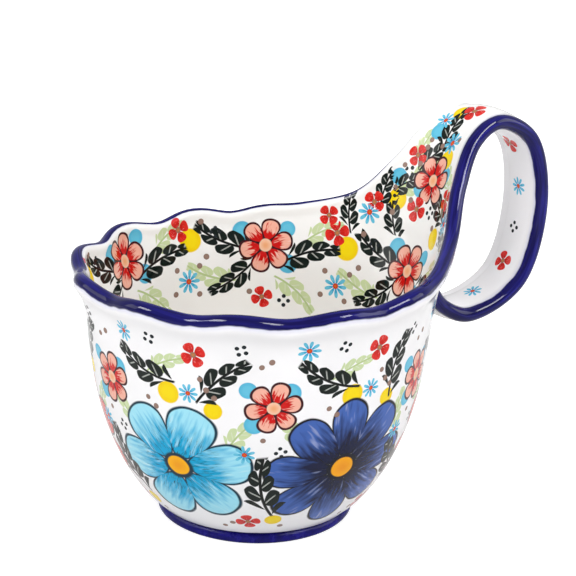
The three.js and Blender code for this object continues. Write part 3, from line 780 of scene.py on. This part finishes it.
glaze = {  # lengths in millimetres
    "white": "#f7f6f8", "cloud": "#efedeb", "cloudSize": 22, "cloudDetail": 2.0, "cloudShare": 0.3,
    "inside": "#f5f5f4", "bottom": "#cbbfa2", "paintedShadeHeights": (9, 50),  # bottom: painted shade low inside the bowl; heights where this painted shade fades to the inside's white
    "cobalt": "#09054a", "thinCobalt": "#242286", "halo": "#8f94d8", "haloShare": 0.6,
    "waverSize": 9, "waverDetail": 2.0, "waver": 1.4,
    "outerBand": (4.1, 3.75), "innerBand": (-3.75, -3.3), "outerHalo": (5.2, 3.7), "innerHalo": (-5.2, -3.4),
    "brushLength": 16, "brushWidth": 0.9, "brushDetail": 2.0, "brushLines": (0.4, 0.66),
    "crest": 3.4, "thinning": (0.6, 0.3),
    "dip": (4.7, 4.4), "dipWaver": 0.8, "dipRadius": 31,
    "streakSize": 4, "streakNoise": (3.0, 0.65), "streaks": (0.3, 0.7),  # noise: detail and roughness
    "roughness": (0.05, 0.09), "specular": 0.2,
    "rippleSize": 13, "rippleDetail": 1.5, "rippleStrength": 0.12, "rippleDepth": 0.5,
}


def paintedGlaze():  # glossy white stoneware glaze over painted flowers, with a cobalt rolled edge
    material, tree, shader = newMaterial("PaintedStoneware")
    node = partial(add, tree)
    place = node("TexCoord").node.outputs["Object"]
    height = node("SeparateXYZ", place).node.outputs["Z"]
    edge = node("Attribute", attribute_name="edge").node.outputs["Fac"]

    # white, a little clouded, with painted shade that darkens and warms the inside towards its bottom
    low, high = glaze["paintedShadeHeights"]
    # painted shade: low down inside, the white is mixed towards the darker bottom colour, where shade falls
    # in the bowl
    unshaded = node("MapRange", height, low * mm, high * mm)
    inside = node("Mix", unshaded, linear(glaze["bottom"]), linear(glaze["inside"]), data_type="RGBA")
    outside = node("MapRange", edge, -1.0, 1.0)
    white = node("Mix", outside, inside, linear(glaze["white"]), data_type="RGBA")
    cloud = node("TexNoise", place, 1 / (glaze["cloudSize"] * mm), glaze["cloudDetail"])
    cloud = node("Math", cloud, glaze["cloudShare"], operation="MULTIPLY")
    paint = node("Mix", cloud, white, linear(glaze["cloud"]), data_type="RGBA")
    for layer in layersOfPaint:
        motif = node("Group", node_tree=groups[layer]).node
        for part, kind in stampParts.items():
            given = node("Attribute", attribute_name=layer + part).node.outputs[kind.title()]
            tree.links.new(given, motif.inputs[part])
        paint = node("Mix", motif.outputs["Mask"], paint, motif.outputs["Colour"], data_type="RGBA")

    # cobalt band along the rolled edge, with a wavering border and a pale halo where it bleeds
    waver = node("TexNoise", place, 1 / (glaze["waverSize"] * mm), glaze["waverDetail"])
    shifted = node("Math", edge, -glaze["waver"] / 2, operation="ADD")
    shifted = node("Math", waver, glaze["waver"], shifted, operation="MULTIPLY_ADD")
    band = node("Math", node("MapRange", shifted, *glaze["outerBand"]),
                node("MapRange", shifted, *glaze["innerBand"]), operation="MULTIPLY")
    outerHalo = node("MapRange", shifted, *glaze["outerHalo"], 0.0, glaze["haloShare"])
    innerHalo = node("MapRange", shifted, *glaze["innerHalo"], 0.0, glaze["haloShare"])
    halo = node("Math", outerHalo, innerHalo, operation="MULTIPLY")
    paint = node("Mix", halo, paint, linear(glaze["halo"]), data_type="RGBA")

    # brush lines that follow the edge: long along it and narrow across it
    brushLength = glaze["brushLength"] * mm
    across = node("Math", edge, brushLength / glaze["brushWidth"], operation="MULTIPLY")
    lines = node("TexNoise", place, across, 1 / brushLength, glaze["brushDetail"], noise_dimensions="4D")
    lines = node("MapRange", lines, *glaze["brushLines"])
    crest = node("MapRange", node("Math", edge, operation="ABSOLUTE"), 0.0, glaze["crest"], 1.0, 0.0)
    thin = node("Math", crest, *glaze["thinning"], operation="MULTIPLY_ADD")
    thin = node("Math", thin, lines, operation="MULTIPLY")
    cobalt = node("Mix", thin, linear(glaze["cobalt"]), linear(glaze["thinCobalt"]), data_type="RGBA")

    # the foot's dip of cobalt reaches a little way up the wall
    fromAxis = node("VectorMath", place, (-axisX, 0, 0), operation="ADD")
    fromAxis = node("VectorMath", fromAxis, (1, 1, 0), operation="MULTIPLY")
    fromAxis = node("VectorMath", fromAxis, operation="LENGTH").node.outputs["Value"]
    dip = node("Math", waver, -glaze["dipWaver"] * mm, height, operation="MULTIPLY_ADD")
    dip = node("MapRange", dip, glaze["dip"][0] * mm, glaze["dip"][1] * mm)
    atWall = node("Math", fromAxis, glaze["dipRadius"] * mm, operation="GREATER_THAN")
    dip = node("Math", dip, atWall, operation="MULTIPLY")
    covered = node("Math", band, dip, operation="MAXIMUM")
    tree.links.new(node("Mix", covered, paint, cobalt, data_type="RGBA"), shader.inputs["Base Color"])

    # gloss with a slight ripple
    streak = node("TexNoise", place, 1 / (glaze["streakSize"] * mm), *glaze["streakNoise"])
    roughness = node("MapRange", streak, *glaze["streaks"], *glaze["roughness"])
    tree.links.new(roughness, shader.inputs["Roughness"])
    shader.inputs["Specular IOR Level"].default_value = glaze["specular"]
    ripple = node("TexNoise", place, 1 / (glaze["rippleSize"] * mm), glaze["rippleDetail"])
    bump = {"Strength": glaze["rippleStrength"], "Distance": glaze["rippleDepth"] * mm, "Height": ripple}
    tree.links.new(node("Bump", named=bump), shader.inputs["Normal"])
    return material


footGlaze = {
    "deep": "#0e0a5a", "thin": "#231d92", "thinning": (0.4, 0.75), "thinShare": 0.7,
    "streakSize": 4, "streakNoise": (3.0, 0.65), "streaks": (0.3, 0.7),
    "roughness": (0.22, 0.3), "specular": 0.15,
}


def cobaltGlaze():  # deep blue glaze on the dipped foot, streaked lighter where it is thin
    material, tree, shader = newMaterial("CobaltGlaze")
    node = partial(add, tree)
    place = node("TexCoord").node.outputs["Object"]
    streak = node("TexNoise", place, 1 / (footGlaze["streakSize"] * mm), *footGlaze["streakNoise"])
    thin = node("MapRange", streak, *footGlaze["thinning"], 0.0, footGlaze["thinShare"])
    colour = node("Mix", thin, linear(footGlaze["deep"]), linear(footGlaze["thin"]), data_type="RGBA")
    tree.links.new(colour, shader.inputs["Base Color"])
    roughness = node("MapRange", streak, *footGlaze["streaks"], *footGlaze["roughness"])
    tree.links.new(roughness, shader.inputs["Roughness"])
    shader.inputs["Specular IOR Level"].default_value = footGlaze["specular"]
    return material


clay = {
    "pale": "#e7dfd0", "speck": "#cfc3ae", "specks": (0.35, 0.7), "roughness": 0.75,
    "grainSize": 0.6, "grainNoise": (4.0, 0.7), "bumpStrength": 0.4, "bumpDepth": 0.1,
}


def bareClay():  # unglazed stoneware, dry and speckled
    material, tree, shader = newMaterial("BareStoneware")
    node = partial(add, tree)
    place = node("TexCoord").node.outputs["Object"]
    grain = node("TexNoise", place, 1 / (clay["grainSize"] * mm), *clay["grainNoise"])
    specks = node("MapRange", grain, *clay["specks"])
    colour = node("Mix", specks, linear(clay["pale"]), linear(clay["speck"]), data_type="RGBA")
    tree.links.new(colour, shader.inputs["Base Color"])
    shader.inputs["Roughness"].default_value = clay["roughness"]
    bump = {"Strength": clay["bumpStrength"], "Distance": clay["bumpDepth"] * mm, "Height": grain}
    tree.links.new(node("Bump", named=bump), shader.inputs["Normal"])
    return material


vesselPiece.data.materials.append(paintedGlaze())
footPiece.data.materials.append(cobaltGlaze())
footPiece.data.materials.append(bareClay())
print("materials made")

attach(vesselPiece, "root")
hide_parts("bowl_body", "rim_bead", "handle_strap", "handle_bead_left", "handle_bead_right")
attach(footPiece, "root")
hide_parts("foot_ring")

# Studio: white floor and backdrop, soft light from all sides
studio = {
    "floorSize": 6, "paper": "#cbcbcb", "paperRoughness": 0.9, "paperSpecular": 0.1, "aim": 0.06,
    "glowReach": (0.15, 1.0), "glow": (0.7, 1.0), "white": "#ffffff", "world": 0.2, "mirrored": 0.5,
    # turn from the camera's side, elevation, distance, width, height, power, lights matt, is mirrored
    "lights": [
        (-38, 40, 1.3, 0.6, 0.6, 6.4, True, False),
        (48, 38, 1.3, 0.6, 0.6, 6.0, True, False),
        (-12, 4, 1.3, 0.8, 0.3, 3.9, True, False),
        (-88, 24, 1.3, 0.7, 0.7, 3.9, True, True),
        (92, 22, 1.3, 0.7, 0.7, 5.2, True, True),
        (170, 60, 1.3, 0.9, 0.9, 4.5, True, False),
        (0, 90, 1.3, 1.2, 1.2, 3.0, True, False),
        (-62, 42, 1.1, 0.45, 0.3, 10.0, False, True),
        (58, 42, 1.1, 0.45, 0.3, 10.0, False, True),
    ],
}
# Camera: a long lens looking down a little, with the loop turned away to the right
view = {
    "turn": 30.2, "distance": 500, "height": 239.5, "pitch": 0.3113, "roll": 0.0241, "sensor": 36,
    "imageWidth": 576, "focal": 1558.7, "aside": 28.2,  # pixels: frame, focal length, bowl off centre
    "clip": 0.01,
}


def seenRays(tree):  # 1 where the background is looked at, half in a reflection, and 0 where it lights
    rays = add(tree, "LightPath").node.outputs
    mirrored = add(tree, "Math", rays["Is Glossy Ray"], rays["Is Transmission Ray"], operation="MAXIMUM")
    mirrored = add(tree, "Math", mirrored, studio["mirrored"], operation="MULTIPLY")
    return add(tree, "Math", mirrored, rays["Is Camera Ray"], operation="MAXIMUM")


def whitePaper():  # matt white backdrop paper, dimmer close to the bowl
    material, tree, shader = newMaterial("WhitePaper")
    shader.inputs["Base Color"].default_value = linear(studio["paper"])
    shader.inputs["Roughness"].default_value = studio["paperRoughness"]
    shader.inputs["Specular IOR Level"].default_value = studio["paperSpecular"]
    shader.inputs["Emission Color"].default_value = linear(studio["white"])
    place = add(tree, "TexCoord").node.outputs["Object"]
    away = add(tree, "VectorMath", place, operation="LENGTH").node.outputs["Value"]
    glow = add(tree, "MapRange", away, *studio["glowReach"], *studio["glow"])
    glow = add(tree, "Math", seenRays(tree), glow, operation="MULTIPLY")
    tree.links.new(glow, shader.inputs["Emission Strength"])
    return material


def makeFloor():
    mesh = bmesh.new()
    bmesh.ops.create_grid(mesh, x_segments=1, y_segments=1, size=studio["floorSize"])
    data = bpy.data.meshes.new("StudioFloor")
    mesh.to_mesh(data)
    mesh.free()
    data.materials.append(whitePaper())
    floor = bpy.data.objects.new("StudioFloor", data)
    scene.collection.objects.link(floor)


makeFloor()
world = bpy.data.worlds.new("Studio")
world.use_nodes = True
sky = world.node_tree.nodes["Background"].inputs
sky["Color"].default_value = linear(studio["white"])
strength = add(world.node_tree, "MapRange", seenRays(world.node_tree), 0.0, 1.0, studio["world"], 1.0)
world.node_tree.links.new(strength, sky["Strength"])
scene.world = world
for number, (turn, elevation, distance, width, height, power, matt, mirrored) in enumerate(studio["lights"]):
    lamp = bpy.data.lights.new("Softbox%d" % number, "AREA")
    lamp.shape = "RECTANGLE"
    lamp.size = width
    lamp.size_y = height
    lamp.energy = power
    light = bpy.data.objects.new(lamp.name, lamp)
    around, above = math.radians(turn - 90 - view["turn"]), math.radians(elevation)
    level = math.cos(above)
    towards = Vector((math.cos(around) * level, math.sin(around) * level, math.sin(above)))
    light.location = Vector((axisX, 0, studio["aim"])) + towards * distance
    light.rotation_euler = (-towards).to_track_quat("-Z", "Y").to_euler()
    light.visible_diffuse = matt
    light.visible_glossy = mirrored
    light.visible_camera = False
    scene.collection.objects.link(light)
print("studio lit")

cameraData = bpy.data.cameras.new("Camera")
cameraData.lens = view["sensor"] * view["focal"] / view["imageWidth"]
cameraData.sensor_width = view["sensor"]
cameraData.clip_start = view["clip"]
camera = bpy.data.objects.new("Camera", cameraData)
heading = -math.radians(view["turn"])
distance = view["distance"] * mm
camera.location = (axisX + distance * math.sin(heading), -distance * math.cos(heading), view["height"] * mm)
yaw = math.atan(view["aside"] / view["focal"])
pose = Matrix.Rotation(heading, 4, "Z") @ Matrix.Rotation(math.pi / 2 - view["pitch"], 4, "X")
pose = pose @ Matrix.Rotation(-yaw, 4, "Y") @ Matrix.Rotation(view["roll"], 4, "Z")
camera.rotation_euler = pose.to_euler()
scene.collection.objects.link(camera)
scene.camera = camera
scene.view_settings.view_transform = "Standard"
print("camera placed")
